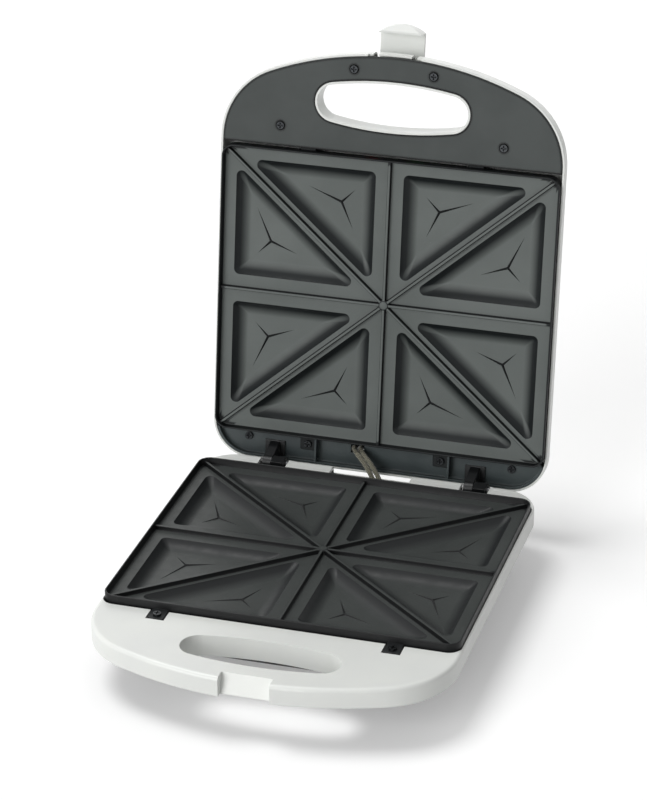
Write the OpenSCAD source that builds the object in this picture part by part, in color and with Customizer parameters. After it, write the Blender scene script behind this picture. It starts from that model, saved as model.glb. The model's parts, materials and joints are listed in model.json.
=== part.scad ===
// Sandwich toaster: two hinged halves, each with a pocketed plate, and a latch.
// Each half is drawn in one half frame: X runs across, Y = 0 on the hinge axis
// with the front at negative Y, and z = 0 where the plate lips meet, +z outward.

/* [Body] */
// Width across both housings
body_w = 253.2; // [230:0.2:290]
// Radius of the front corners in plan
front_corner_r = 56.6; // [44:0.2:62]
// Rise of the bowed front edge
front_bow = 14; // [8:0.5:20]
// Handle depth from the plate to the corner centres
handle_step = 4.9; // [2:0.1:12]
// Radius of the rear corners in plan
rear_corner_r = 28; // [16:1:34]
// Wall thickness of the housings
shell_wall = 1.5; // [1.2:0.1:1.8]
// Rounding of the base cover edge
base_round = 3; // [2:0.1:4]
// Rounding of the lid handle edge
lid_round = 7; // [4:0.5:9]

/* [Plates] */
// Plate depth
plate_d = 216; // [190:1:230]
// Distance from the hinge axis to the plates
plate_back = 19; // [18:0.5:26]
// Depth of the pocket floor below the flat land
pocket_depth = 5.1; // [3:0.1:7]
// Width of the curved pocket wall
pocket_run = 10.8; // [8:0.1:13]
// Width of the crimping ribs
rib_w = 2; // [1.4:0.1:3]

/* [Handle hole] */
// Radius of the ends of the handle hole
slot_end_r = 13; // [10:0.5:15]
// Distance from the middle to an end centre
slot_end_x = 42.35; // [30:0.05:50]
// Distance of the hole centre from the plate
slot_v = 37.7; // [34:0.1:41]
// Bow of the long edges of the hole
slot_bow = 3.85; // [2:0.05:6]

/* [Hinge and latch] */
// Opening angle of the lid at rest
open_angle = 97.64; // [91:0.02:105]
// Height of the lip plane above the hinge axis
hinge_drop = 8.5; // [8:0.1:10]
// Diameter of the hinge pins
hinge_pin_d = 4; // [3:0.5:5]
// Latch width
latch_w = 32.4; // [24:0.2:36]
// Distance of the latch pivot from the plate
latch_v = 59.7; // [58.5:0.1:61]
// Height of the latch pivot above the lip plane
latch_z = 8.9; // [8.7:0.1:9.4]

/* [Stand] */
// Height of the lip plane above the table
lip_height = 50; // [46:0.5:60]
// Height of the rubber feet
foot_h = 8; // [5:0.5:10]
// Width across the feet centres
foot_span = 176; // [120:1:190]

/* [Hidden] */
fit_gap = 0.3;
half_w = body_w / 2;
plate_w = body_w - 2 * (shell_wall + fit_gap);
lip_gap = 0.2;
mid_fn = 48;
arc_fn = 240;
big_fn = 720;

// Plan outline
plate_front = -(plate_back + plate_d);
tall = body_w + plate_d;
corner_x = half_w - front_corner_r;
corner_y = plate_front - handle_step;
bow_extra = (corner_x * corner_x + front_bow * front_bow) / (2 * front_bow);
bow_r = front_corner_r + bow_extra;
bow_fall = bow_extra - front_bow;
bow_y = corner_y + bow_fall;
rear_edge = 3;
rear_x = half_w - rear_corner_r;
rear_y = rear_edge - rear_corner_r;
nose_v = plate_front - bow_y + bow_r;

// Levels outward from the lip plane
base_top = 5.5;
cover_t = 2.2;
skirt_end = 19.5;
pan_top = 17.3;
pan_t = 2;
pan_end = lip_height - foot_h;
foot_end = lip_height;
rim_z = 4.5;
skin_z = 19.3;
dome_z = 33;
dome_t = 2;
lid_cover_z = 4;
lid_cover_t = 1.6;
cover_inset = 1.75;
cover_gap = 2.2;
head_sunk = 0.7;

// Handle hole
slot_y = plate_front - slot_v;
slot_off = (slot_end_x * slot_end_x + slot_bow * slot_bow) / (2 * slot_bow);
slot_fall = slot_off - slot_bow;
slot_lip = 1.6;
slot_deep = 15.7;
slot_fan = 22;

// Plates
plate_corner = 9;
lip_w = 2;
land_z = 5.4;
rib_z = 2.4;
plate_t = 2.4;
back_t = 2.3;
back_wall = 1.6;
pocket_z = land_z + pocket_depth;
plate_end = pocket_z + back_t;
pocket_r = 4;
pocket_margin = 10.4;
pocket_offset = 4.6;
wall_arc = (pocket_run * pocket_run + pocket_depth * pocket_depth) / (2 * pocket_depth);
half_pw = plate_w / 2;
mid_y = plate_front + plate_d / 2;
cell_w = half_pw;
cell_d = plate_d / 2;
cell_len = sqrt(cell_w * cell_w + cell_d * cell_d);
tab_in = 44.6;
tab_x = half_w - tab_in;
tab_v = 8;
tab_r = 5.8;
tab_end = 5;
tab_gap = 0.7;
tab_z = 5.2;
tab_t = 2.5;
post_r = 4;
screw_r = 1.5;
screw_hole = 1.6;
head_r = 2.9;
head_t = 1.6;

// Heaters
heat_r = 3.25;
heat_z = plate_end + heat_r;
heat_in = 42.6;
heat_x = half_w - heat_in;
heat_y = 66;
bend_r = 22;
lead_x = 20;
cold_pin = 12;
cold_pin_r = 1.2;
tray_z = heat_z + heat_r + 3;
tray_t = 0.8;
tray_in = 11.5;
tray_side = 17;
tray_r = 20;

// Hinges
knuckle_r = 5.5;
pin_r = hinge_pin_d / 2;
pin_fit = 0.05;
pin_head_t = 1.4;
knuckle_w = 7;
lug_w = 9.6;
lug_gap = 0.6;
left_hinge_in = 43.6;
right_hinge_in = 57.1;
left_knuckle = [left_hinge_in - half_w, left_hinge_in - half_w + knuckle_w];
left_lug = [left_knuckle[1] + lug_gap, left_knuckle[1] + lug_gap + lug_w];
right_knuckle = [half_w - right_hinge_in, half_w - right_hinge_in + knuckle_w];
right_lug = [right_knuckle[1] + lug_gap, right_knuckle[1] + lug_gap + lug_w];
lug_t = 1.5;
lug_deep = 9;
lug_foot = 8.5;
lug_screw_in = 4.5;
lug_screw_y = -11;
lug_screw_x = [left_knuckle[0] - lug_screw_in, left_lug[1] + lug_screw_in,
    right_knuckle[0] - lug_screw_in, right_lug[1] + lug_screw_in];
lug_face = 0.9;
frame_floor = 9;
frame_t = 1.8;
frame_wall = 1.6;
frame_inner = rear_edge - shell_wall - fit_gap - frame_wall;

// Latch, measured from its pivot: u along the leg, w out to the leg
leg_in = 16.4;
leg_out = 18.6;
ledge_u = latch_z + skirt_end + fit_gap;
tip_rise = 5.5;
tip_low = ledge_u + 1.6;
hook_in = 8.4;
arm_x = 14;
arm_w = 3;
arm_half = 1.7;
latch_pin_r = 1.5;
pin_lug = 3;
pin_lug_gap = 0.4;
pin_reach = arm_x + arm_w / 2 + pin_lug_gap + pin_lug;
latch_y = plate_front - latch_v;
tip_arc = (pow(latch_w / 2, 2) + tip_rise * tip_rise) / (2 * tip_rise);
notch_x = latch_w / 2 + 1.3;
notch_top_v = nose_v - 9.5;
notch_end_v = nose_v - 4.6;

// Heater leads: round points in the base frame, rest pose, from lid to base
lead_r = 1.9;
lead_sides = 8;
lead_gap = 5;
lead_room = 0.6;
lead_at = -19;

// Placing the halves
lean = open_angle - 90;
tip_s = plate_back + plate_d + latch_v + ledge_u + tip_rise;
back_reach = tip_s * sin(lean) + (hinge_drop + latch_z + leg_out) * cos(lean);
front_reach = sqrt(bow_r * bow_r - notch_x * notch_x) - bow_y;
hinge_y = (front_reach - back_reach) / 2;
hinge_z = lip_height - hinge_drop;

// ---- Shared forms ----

module lower() {
    translate([0, hinge_y, lip_height]) mirror([0, 0, 1]) children();
}

module upper() {
    translate([0, hinge_y, hinge_z])
        rotate([-open_angle, 0, 0])
            translate([0, 0, hinge_drop])
                children();
}

module both_sides() {
    children();
    mirror([1, 0, 0]) children();
}

// Revolve the child profile about a corner and keep the sector between p and q
module arc_part(centre, reach, p, q, fn = arc_fn) {
    $reach = reach;
    translate([centre[0], centre[1], 0])
        intersection() {
            rotate_extrude($fn = fn) children();
            translate([0, 0, -tall]) linear_extrude(2 * tall) polygon([[0, 0], p, q]);
        }
}

// Run the child profile straight along -Y, turned about Z
module run_part(start, turn, length, reach) {
    $reach = reach;
    translate([start[0], start[1], 0])
        rotate([0, 0, turn])
            rotate([90, 0, 0])
                linear_extrude(length) children();
}

// Sweep an edge profile round the bowed plan of both halves
module body_plan(inset = 0) {
    k = 2;
    arc_part([0, bow_y], bow_r - inset,
        [k * corner_x, -k * bow_fall], [-k * corner_x, -k * bow_fall], big_fn) children();
    both_sides() {
        arc_part([corner_x, corner_y], front_corner_r - inset,
            [k * corner_x, -k * bow_fall], [tall * k, 0]) children();
        run_part([0, rear_y], 0, rear_y - corner_y, half_w - inset) children();
        arc_part([rear_x, rear_y], rear_corner_r - inset, [tall, 0], [0, tall]) children();
    }
    run_part([-rear_x, rear_y], 90, 2 * rear_x, rear_corner_r - inset) children();
}

// Sweep an edge profile round a rounded rectangle
module box_plan(hx, y0, y1, r, inset = 0) {
    both_sides() {
        arc_part([hx - r, y0 + r], r - inset, [0, -tall], [tall, 0]) children();
        arc_part([hx - r, y1 - r], r - inset, [tall, 0], [0, tall]) children();
        run_part([0, y1 - r], 0, y1 - y0 - 2 * r, hx - inset) children();
    }
    run_part([r - hx, y1 - r], 90, 2 * (hx - r), r - inset) children();
    run_part([hx - r, y0 + r], -90, 2 * (hx - r), r - inset) children();
}

// Solid edge profile from z0 to z1, rounded by f0 at z0 and f1 at z1
module edge(z0, z1, f0 = 0, f1 = 0) {
    translate([0, z0 + f0]) square([$reach, z1 - z0 - f0 - f1]);
    if (f0 > 0) {
        translate([0, z0]) square([$reach - f0, f0]);
        quarter([$reach - f0, z0 + f0], f0, -1);
    }
    if (f1 > 0) {
        translate([0, z1 - f1]) square([$reach - f1, f1]);
        quarter([$reach - f1, z1 - f1], f1, 1);
    }
}

module quarter(centre, r, up) {
    intersection() {
        translate(centre) circle(r, $fn = mid_fn);
        translate([centre[0], up > 0 ? centre[1] : centre[1] - r]) square(r);
    }
}

// Bowed handle hole in plan
module slot_plan(grow = 0) {
    reach = slot_off + slot_end_r + grow;
    fan = slot_fan / slot_off;
    intersection() {
        translate([0, slot_y - slot_fall]) circle(reach, $fn = big_fn);
        translate([0, slot_y + slot_fall]) circle(reach, $fn = big_fn);
        polygon([
            [slot_end_x, slot_y],
            [slot_end_x * (1 + fan), slot_y + slot_fall * fan],
            [-slot_end_x * (1 + fan), slot_y + slot_fall * fan],
            [-slot_end_x, slot_y],
            [-slot_end_x * (1 + fan), slot_y - slot_fall * fan],
            [slot_end_x * (1 + fan), slot_y - slot_fall * fan]
        ]);
    }
    for (side = [-1, 1])
        translate([side * slot_end_x, slot_y]) circle(slot_end_r + grow, $fn = arc_fn / 2);
}

module slot(z0, z1, grow = 0) {
    translate([0, 0, z0]) linear_extrude(z1 - z0) slot_plan(grow);
}

module tube_x(x0, x1, y, z, r) {
    translate([x0, y, z]) rotate([0, 90, 0]) cylinder(h = x1 - x0, r = r, $fn = mid_fn);
}

module peg(x, y, z0, z1, r) {
    translate([x, y, z0]) cylinder(h = z1 - z0, r = r, $fn = mid_fn);
}

module slab(x0, x1, y0, y1, z0, z1) {
    translate([x0, y0, z0]) cube([x1 - x0, y1 - y0, z1 - z0]);
}

// Pan-head screw with a cross recess, head at z0 and shank running to z1
module screw(x, y, z0, z1) {
    recess = 0.9;
    bar = 0.7;
    translate([x, y, z0]) {
        difference() {
            cylinder(h = head_t, r = head_r, $fn = mid_fn);
            for (turn = [0, 90])
                rotate([0, 0, turn])
                    translate([-head_r * 0.65, -bar / 2, -1])
                        cube([head_r * 1.3, bar, 1 + recess]);
        }
        translate([0, 0, head_t]) cylinder(h = z1 - z0 - head_t, r = screw_r, $fn = mid_fn / 2);
    }
}

// ---- Pocketed plate ----

// Profile of the open side of one pocket wall: along +x from the rim
module pocket_wall() {
    far = 140;
    above = land_z - rib_z + 4;
    translate([pocket_run, land_z - above]) square([far, above + pocket_depth]);
    intersection() {
        translate([pocket_run, pocket_z - wall_arc]) circle(wall_arc, $fn = arc_fn);
        translate([0, land_z - above]) square([pocket_run, above + pocket_depth]);
    }
}

// Wall profile set along the line from p in direction (dx, dy), open to its left
module wall_cut(p, dir) {
    translate([p[0], p[1], 0])
        rotate([0, 0, atan2(dir[1], dir[0])])
            translate([-tall, 0, 0])
                rotate([90, 0, 90])
                    linear_extrude(2 * tall) pocket_wall();
}

// Corners of the triangle bounded by the diagonal and the two edges of a cell.
// Cell corner (0, 0) is the outer front corner of the plate quarter.
function tri_lower() = let(
        m = pocket_margin,
        k = pocket_offset * cell_len / cell_w,
        d = cell_d / cell_w)
    [[(m + k) / d, m], [cell_w - m, m], [cell_w - m, (cell_w - m) * d - k]];
function tri_upper() = let(
        m = pocket_margin,
        k = pocket_offset * cell_len / cell_w,
        d = cell_d / cell_w)
    [[m, m * d + k], [(cell_d - m - k) / d, cell_d - m], [m, cell_d - m]];

function unit(v) = v / norm(v);
// Centre of the corner fillet at b between a and c
function corner_at(a, b, c, r) = let(
        p = unit(a - b),
        q = unit(c - b),
        half = acos(p * q) / 2)
    b + unit(p + q) * r / sin(half);
function side_of(p, q) = let(d = unit(q - p)) [d[1], -d[0]];

// Rounded triangle in plan, exact arcs at the corners, grown outward
module tri_plan(t, grow = 0) {
    r = pocket_r + grow;
    c = [for (i = [0:2]) corner_at(t[(i + 2) % 3], t[i], t[(i + 1) % 3], pocket_r)];
    polygon([for (i = [0:2]) let(out = side_of(t[i], t[(i + 1) % 3]) * r)
        for (p = [c[i] + out, c[(i + 1) % 3] + out]) p]);
    for (i = [0:2]) translate(c[i]) circle(r, $fn = mid_fn);
}

module pocket(t) {
    intersection() {
        translate([0, 0, rib_z - 4]) linear_extrude(pocket_z - rib_z + 4) tri_plan(t);
        wall_cut(t[0], t[1] - t[0]);
        wall_cut(t[1], t[2] - t[1]);
        wall_cut(t[2], t[0] - t[2]);
    }
}

// Three-armed crease raised on the pocket floor
module crease(t) {
    a = norm(t[1] - t[2]);
    b = norm(t[2] - t[0]);
    c = norm(t[0] - t[1]);
    mid = (t[0] * a + t[1] * b + t[2] * c) / (a + b + c);
    width = 1.1;
    for (p = t) {
        d = unit(p - mid);
        n = [-d[1], d[0]] * width;
        arm = norm(p - mid) * 0.55;
        translate([0, 0, pocket_z - 0.45])
            linear_extrude(0.7) polygon([mid - n, mid + d * arm, mid + n, mid - d * width]);
    }
}

module all_cells() {
    translate([0, mid_y, 0])
        for (sy = [0, 1])
            mirror([0, sy, 0])
                both_sides()
                    translate([-half_pw, -cell_d, 0]) children();
}

module rib_bar(p, q, z0, z1) {
    d = q - p;
    translate([p[0], p[1], z0])
        rotate([0, 0, atan2(d[1], d[0])])
            translate([0, -rib_w / 2, 0]) cube([norm(d), rib_w, z1 - z0]);
}

module plate_tab(p, root_y, z) {
    end = p[1] + sign(p[1] - root_y) * tab_end;
    slab(p[0] - tab_r, p[0] + tab_r, min(end, root_y), max(end, root_y), z, z + tab_t);
}

// Plate with fixing tabs at [x, y, root y, level] and screw bosses beneath
module plate_half(tabs, bosses) {
    skirt_z = land_z + plate_t + 1.6;
    difference() {
        union() {
            // rim wall and land
            difference() {
                box_plan(half_pw, plate_front, -plate_back, plate_corner)
                    edge(lip_gap, skirt_z);
                box_plan(half_pw, plate_front, -plate_back, plate_corner, lip_w)
                    edge(-tall / 4, land_z);
                box_plan(half_pw, plate_front, -plate_back, plate_corner, lip_w)
                    edge(land_z + plate_t, tall / 4);
            }
            // pocket backs
            all_cells() {
                for (t = [tri_lower(), tri_upper()])
                    translate([0, 0, land_z + plate_t / 2])
                        linear_extrude(plate_end - land_z - plate_t / 2) tri_plan(t, back_wall);
            }
            // crimping ribs: centre lines and diagonals
            intersection() {
                union() {
                    rib_bar([-half_pw, mid_y], [half_pw, mid_y], rib_z, land_z + 0.5);
                    rib_bar([0, plate_front], [0, -plate_back], rib_z, land_z + 0.5);
                    rib_bar([-half_pw, plate_front], [half_pw, -plate_back], rib_z, land_z + 0.5);
                    rib_bar([half_pw, plate_front], [-half_pw, -plate_back], rib_z, land_z + 0.5);
                }
                box_plan(half_pw, plate_front, -plate_back, plate_corner, lip_w / 2)
                    edge(lip_gap, skirt_z);
            }
            peg(0, mid_y, rib_z, land_z + 0.5, 4);
            for (t = tabs) plate_tab(t, t[2], t[3]);
            for (p = bosses) peg(p[0], p[1], land_z + 1, plate_end, post_r);
        }
        all_cells() {
            pocket(tri_lower());
            pocket(tri_upper());
        }
        for (t = tabs) peg(t[0], t[1], t[3] - 1, t[3] + tab_t + 1, screw_hole);
        for (p = bosses) peg(p[0], p[1], land_z + plate_t, plate_end + 1, screw_hole);
    }
    all_cells() {
        crease(tri_lower());
        crease(tri_upper());
    }
}

boss_side = 64.6;
boss_x = half_w - boss_side;
boss_in = 5.2;
lid_tab_x = half_w - boss_side;
lid_tab_z = 7.5;
rear_tab_x = [left_lug[1] + 11.8, right_knuckle[0] - 22.5];
rear_tab_y = -13;
rear_tab_z = 6.5;
front_root = plate_front + lip_w / 2;
rear_root = -plate_back - lip_w / 2;
lower_tabs = [for (sx = [-1, 1]) [sx * tab_x, plate_front - tab_v, front_root, tab_z]];
upper_tabs = concat(
    [for (sx = [-1, 1]) [sx * lid_tab_x, plate_front - tab_v, front_root, lid_tab_z]],
    [for (x = rear_tab_x) [x, rear_tab_y, rear_root, rear_tab_z]]);
lower_bosses = [for (sx = [-1, 1]) [sx * boss_x, -plate_back - boss_in]];

// ---- Heater, reflector and their fixings ----

module heater_half() {
    y0 = mid_y - heat_y;
    y1 = mid_y + heat_y;
    tube_x(bend_r - heat_x, heat_x - bend_r, y0, heat_z, heat_r);
    both_sides() {
        tube_x(lead_x, heat_x - bend_r, y1, heat_z, heat_r);
        translate([heat_x, y1 - bend_r, heat_z])
            rotate([90, 0, 0]) cylinder(h = y1 - y0 - 2 * bend_r, r = heat_r, $fn = mid_fn);
        bend_at([heat_x - bend_r, y1 - bend_r], 0);
        bend_at([heat_x - bend_r, y0 + bend_r], -90);
        // cold pin and terminal
        tube_x(lead_x - cold_pin, lead_x, y1, heat_z, cold_pin_r);
    }
}

module bend_at(centre, turn) {
    translate([centre[0], centre[1], heat_z])
        rotate([0, 0, turn])
            rotate_extrude(angle = 90, $fn = arc_fn / 2)
                translate([bend_r, 0]) circle(heat_r, $fn = mid_fn);
}

// Straps over the heater legs
module clips_half() {
    wide = 8;
    lid_t = 1;
    foot = 4;
    for (sx = [-1, 1]) for (sy = [-1, 1])
        translate([sx * heat_x, mid_y + sy * heat_y * 0.35, 0]) {
            slab(-heat_r - lid_t, heat_r + lid_t, -wide / 2, wide / 2,
                heat_z + heat_r, heat_z + heat_r + lid_t);
            for (m = [0, 1]) mirror([m, 0, 0]) {
                slab(heat_r, heat_r + lid_t, -wide / 2, wide / 2, plate_end, heat_z + heat_r);
                slab(heat_r, heat_r + foot + lid_t, -wide / 2, wide / 2,
                    plate_end, plate_end + lid_t);
            }
        }
}

module reflector_half() {
    hx = half_pw - tray_side;
    window = 9;
    difference() {
        box_plan(hx, plate_front + tray_in, -plate_back - tray_in, tray_r)
            edge(plate_end, tray_z + tray_t);
        box_plan(hx, plate_front + tray_in, -plate_back - tray_in, tray_r, tray_t)
            edge(-1, tray_z);
        slab(-lead_x, lead_x, mid_y + heat_y - window, mid_y + heat_y + window,
            tray_z - 1, tray_z + 2);
    }
}

// ---- Base ----

base_boss = [for (sx = [-1, 1]) for (p = [[29, 64], [half_w - 30.6, 14]]) [sx * p[0], p[1]]];
lid_boss = [for (sx = [-1, 1]) for (p = [[29.1, 63.1], [half_w - 44.4, 17]]) [sx * p[0], p[1]]];
boss_r = 3.6;
boss_bore = 1.6;
lead_bay = 30;
opening_gap = 2;
opening_side = 0.5;
opening_deep = 9;
notch_out = 20;

module notch_block(grow) {
    rotate([90, 0, 90])
        translate([0, 0, -notch_x - grow])
            linear_extrude(2 * (notch_x + grow))
                polygon([
                    [plate_front - notch_top_v + grow, base_top - grow],
                    [plate_front - notch_end_v + grow, skirt_end + grow],
                    [plate_front - nose_v - notch_out, skirt_end + grow],
                    [plate_front - nose_v - notch_out, base_top - grow]
                ]);
}

module base_frame() {
    color([0.9, 0.91, 0.9]) lower() difference() {
        union() {
            difference() {
                body_plan() edge(base_top, skirt_end, base_round);
                body_plan(shell_wall)
                    edge(base_top + cover_t, skirt_end + 5, base_round - shell_wall + 0.4);
            }
            intersection() {
                body_plan(shell_wall / 2) edge(base_top + 0.5, skirt_end, base_round - 0.5);
                notch_block(shell_wall);
            }
            slot(base_top + cover_t / 2, base_top + slot_deep, slot_lip);
            for (p = base_boss) peg(p[0], plate_front - p[1], base_top + 1, pan_top, boss_r);
        }
        notch_block(0);
        slot(base_top - 1, base_top + slot_deep + 1);
        for (p = base_boss)
            peg(p[0], plate_front - p[1], base_top + cover_t, skirt_end, boss_bore);
        // plate opening, with the tab cut-outs
        box_plan(half_pw + opening_side, plate_front - opening_gap,
            -plate_back + opening_gap, plate_corner)
                edge(base_top - 1, base_top + opening_deep);
        for (sx = [-1, 1])
            slab(sx * tab_x - tab_r - tab_gap, sx * tab_x + tab_r + tab_gap,
                plate_front - tab_v - tab_end - tab_gap, plate_front,
                base_top - 1, base_top + cover_t + 1);
        // rear gaps for the hinge arms
        hinge_gap_cut(left_knuckle[0], left_lug[1]);
        hinge_gap_cut(right_knuckle[0], right_lug[1]);
        slab(-lead_bay, lead_bay, -plate_back, rear_edge + 1, base_top - 1, base_top + 6);
    }
}

module hinge_gap_cut(x0, x1) {
    slab(x0 - lug_gap - pin_head_t, x1 + lug_gap + pin_head_t, -plate_back, rear_edge + 2,
        base_top - 1, hinge_drop + knuckle_r + 1);
}

module base_pan() {
    deck_z = hinge_drop + knuckle_r + lug_t;
    color([0.1, 0.1, 0.11]) lower() difference() {
        union() {
            body_plan(shell_wall + fit_gap) edge(pan_top, pan_top + pan_t);
            box_plan(half_w - pan_side, plate_front + pan_front, pan_rear, pan_r)
                edge(pan_top, pan_end, 0, pan_round);
            for (sx = [-1, 1]) {
                peg(sx * tab_x, plate_front - tab_v, tab_z + tab_t, pan_top + 1, post_r);
                peg(sx * boss_x, -plate_back - boss_in, plate_end, pan_end - 1, post_r);
            }
            // rear deck that carries the hinge lugs
            for (x = [[left_knuckle[0], left_lug[1]], [right_knuckle[0], right_lug[1]]])
                slab(x[0] - lug_foot, x[1] + lug_foot, -deck_d, lug_face, deck_z, pan_top + 1);
        }
        difference() {
            box_plan(half_w - pan_side, plate_front + pan_front, pan_rear, pan_r, pan_t)
                edge(pan_top - 1, pan_end - pan_t, 0, pan_round - pan_t);
            for (sx = [-1, 1])
                peg(sx * boss_x, -plate_back - boss_in, plate_end - 1, pan_end, post_r);
        }
        slot(pan_top - 1, pan_top + pan_t + 1, slot_lip + fit_gap);
        notch_block(shell_wall + fit_gap);
        for (p = base_boss)
            peg(p[0], plate_front - p[1], pan_top - 1, pan_top + pan_t + 1, screw_hole);
        for (sx = [-1, 1]) {
            peg(sx * tab_x, plate_front - tab_v, tab_z, pan_top + pan_t + 1, screw_hole);
            peg(sx * boss_x, -plate_back - boss_in, plate_end - 1, pan_end + 1, screw_hole);
            peg(sx * boss_x, -plate_back - boss_in, pan_end - sunk, pan_end + 1, head_r + 0.4);
        }
        for (x = lug_screw_x)
            peg(x, lug_screw_y, deck_z - 1, pan_top + pan_t + 1, screw_hole);
        // cord inlet hole in the rear wall
        translate([cord_x, 0, cord_z]) rotate([90, 0, 0])
            cylinder(h = 20, r = cord_hole_r, $fn = mid_fn);
        for (sx = [-1, 1]) for (y = foot_y)
            peg(sx * foot_span / 2, y, pan_end - pan_t - 1, pan_end + 1,
                foot_pin_r + pin_fit);
    }
}

pan_side = 10.6;
pan_front = 4;
pan_rear = -10;
pan_r = 22;
pan_round = 9;
deck_d = 16;
sunk = 3;
cord_x = 24;
cord_z = 26.5;
cord_hole_r = 5;
cord_bore = 3.5;
foot_y = [plate_front + 26, -32];
foot_r = 8;
foot_pin_r = 2;
foot_dimple = 1;

module rubber_feet() {
    color([0.08, 0.08, 0.08]) lower()
        for (sx = [-1, 1]) for (y = foot_y) translate([sx * foot_span / 2, y, 0]) {
            rotate_extrude($fn = mid_fn) difference() {
                polygon([
                    [0, pan_end], [foot_r, pan_end], [foot_r - 0.8, foot_end - foot_dimple],
                    [foot_r - 1.8, foot_end], [0, foot_end]
                ]);
                translate([0, foot_end - foot_dimple]) square([foot_r / 3, 2 * foot_dimple]);
            }
            peg(0, 0, pan_end - pan_t - 2, pan_end + 1, foot_pin_r);
        }
}

pan_screw = 9;

module pan_screws() {
    color([0.35, 0.35, 0.36]) lower()
        for (p = base_boss)
            translate([0, 0, 2 * (pan_top + pan_t)]) mirror([0, 0, 1])
                screw(p[0], plate_front - p[1], pan_top + pan_t - head_t,
                    pan_top + pan_t + pan_screw);
}

module lower_plate() {
    color([0.16, 0.17, 0.18]) lower() plate_half(lower_tabs, lower_bosses);
}

module lower_plate_screws() {
    color([0.12, 0.12, 0.12]) lower() {
        for (sx = [-1, 1])
            screw(sx * tab_x, plate_front - tab_v, tab_z - head_t, pan_top + 1);
        for (sx = [-1, 1])
            translate([0, 0, 2 * (pan_end - sunk)]) mirror([0, 0, 1])
                screw(sx * boss_x, -plate_back - boss_in, pan_end - sunk - head_t,
                    2 * (pan_end - sunk) - land_z - plate_t - 1);
    }
}

module lower_heater() {
    color([0.5, 0.5, 0.48]) lower() heater_half();
}

module lower_heater_clips() {
    color([0.7, 0.7, 0.68]) lower() clips_half();
}

module lower_reflector() {
    color([0.75, 0.76, 0.77]) lower() reflector_half();
}

// ---- Hinges ----

module lug(x, foot0, foot1) {
    lower() difference() {
        union() {
            tube_x(x[0], x[1], 0, hinge_drop, knuckle_r);
            slab(x[0], x[1], -lug_deep, 0, hinge_drop - knuckle_r, hinge_drop + knuckle_r + lug_t);
            slab(x[0], x[1], -knuckle_r, lug_face, hinge_drop, hinge_drop + knuckle_r + lug_t);
            slab(foot0, foot1, 1 - deck_d, -knuckle_r - 1, hinge_drop + knuckle_r - lug_t,
                hinge_drop + knuckle_r + lug_t);
        }
        tube_x(x[0] - 1, x[1] + 1, 0, hinge_drop, pin_r + pin_fit);
        for (sx = lug_screw_x)
            peg(sx, lug_screw_y, hinge_drop, hinge_drop + 3 * knuckle_r, screw_hole);
    }
}

module hinge_lug_left() {
    color([0.12, 0.12, 0.13]) lug(left_lug, left_knuckle[0] - lug_foot, left_lug[1] + lug_foot);
}

module hinge_lug_right() {
    color([0.12, 0.12, 0.13]) lug(right_lug, right_knuckle[0] - lug_foot,
        right_lug[1] + lug_foot);
}

module lug_screws() {
    top = hinge_drop + knuckle_r - lug_t;
    color([0.3, 0.3, 0.3]) lower()
        for (x = lug_screw_x) screw(x, lug_screw_y, top - head_t, pan_top + pan_t);
}

module hinge_pin(x0, x1) {
    lower() {
        tube_x(x0, x1, 0, hinge_drop, pin_r);
        tube_x(x1, x1 + pin_head_t, 0, hinge_drop, pin_r + 1.2);
    }
}

module hinge_pin_left() {
    color([0.6, 0.6, 0.62]) hinge_pin(left_knuckle[0], left_lug[1]);
}

module hinge_pin_right() {
    color([0.6, 0.6, 0.62]) hinge_pin(right_knuckle[0], right_lug[1]);
}

// ---- Wiring in the base ----

module cord_inlet() {
    color([0.07, 0.07, 0.07]) lower()
        translate([cord_x, pan_rear, cord_z]) rotate([90, 0, 0]) difference() {
            union() {
                translate([0, 0, -2.5]) cylinder(h = 2.5, r = cord_hole_r + 1.7, $fn = mid_fn);
                cylinder(h = pan_t, r = cord_hole_r, $fn = mid_fn);
                translate([0, 0, pan_t]) cylinder(h = 2, r = cord_hole_r + 1.5, $fn = mid_fn);
            }
            translate([0, 0, -4]) cylinder(h = 12, r = cord_bore, $fn = mid_fn);
        }
}

clamp_half = 11;
clamp_y = [-32, -24];

module cord_clamp() {
    color([0.15, 0.15, 0.15]) lower() difference() {
        slab(cord_x - clamp_half, cord_x + clamp_half, clamp_y[0], clamp_y[1],
            cord_z + 0.5, pan_end - pan_t);
        tube_y(cord_x, clamp_y[0] - 1, clamp_y[1] + 1, cord_z, cord_bore + 0.1);
    }
}

module tube_y(x, y0, y1, z, r) {
    translate([x, y1, z]) rotate([90, 0, 0]) cylinder(h = y1 - y0, r = r, $fn = mid_fn);
}

module terminal_block() {
    poles = 3;
    pitch = 9;
    y = [-66, -52];
    tall_t = 9;
    color([0.85, 0.84, 0.8]) lower() difference() {
        slab(-pitch * poles / 2, pitch * poles / 2, y[0], y[1],
            pan_end - pan_t - tall_t, pan_end - pan_t);
        for (i = [0:poles - 1])
            tube_y((i - 1) * pitch, y[0] - 1, y[1] + 1, pan_end - pan_t - 4, 2);
    }
}

module thermostat_half(x, y) {
    top = tray_z + tray_t;
    translate([x, y, 0]) {
        cylinder_z(top, top + 5, 8.5);
        slab(-12, 12, -3, 3, top + 5, top + 6.2);
        for (sx = [-1, 1]) slab(sx * 9 - 1.5, sx * 9 + 1.5, -0.5, 0.5, top + 6.2, top + 10);
    }
}

module cylinder_z(z0, z1, r) {
    translate([0, 0, z0]) cylinder(h = z1 - z0, r = r, $fn = mid_fn);
}

module lower_thermostat() {
    color([0.8, 0.78, 0.7]) lower() thermostat_half(0, mid_y + 20);
}

// ---- Lid ----

module lid_cavity() {
    body_plan(shell_wall) edge(rim_z - 1, skin_z - shell_wall, 0, lid_round - shell_wall);
    box_plan(dome_x, dome_front, dome_rear, dome_r, dome_t)
        edge(rim_z, dome_z - dome_t, 0, dome_round - dome_t);
}

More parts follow.
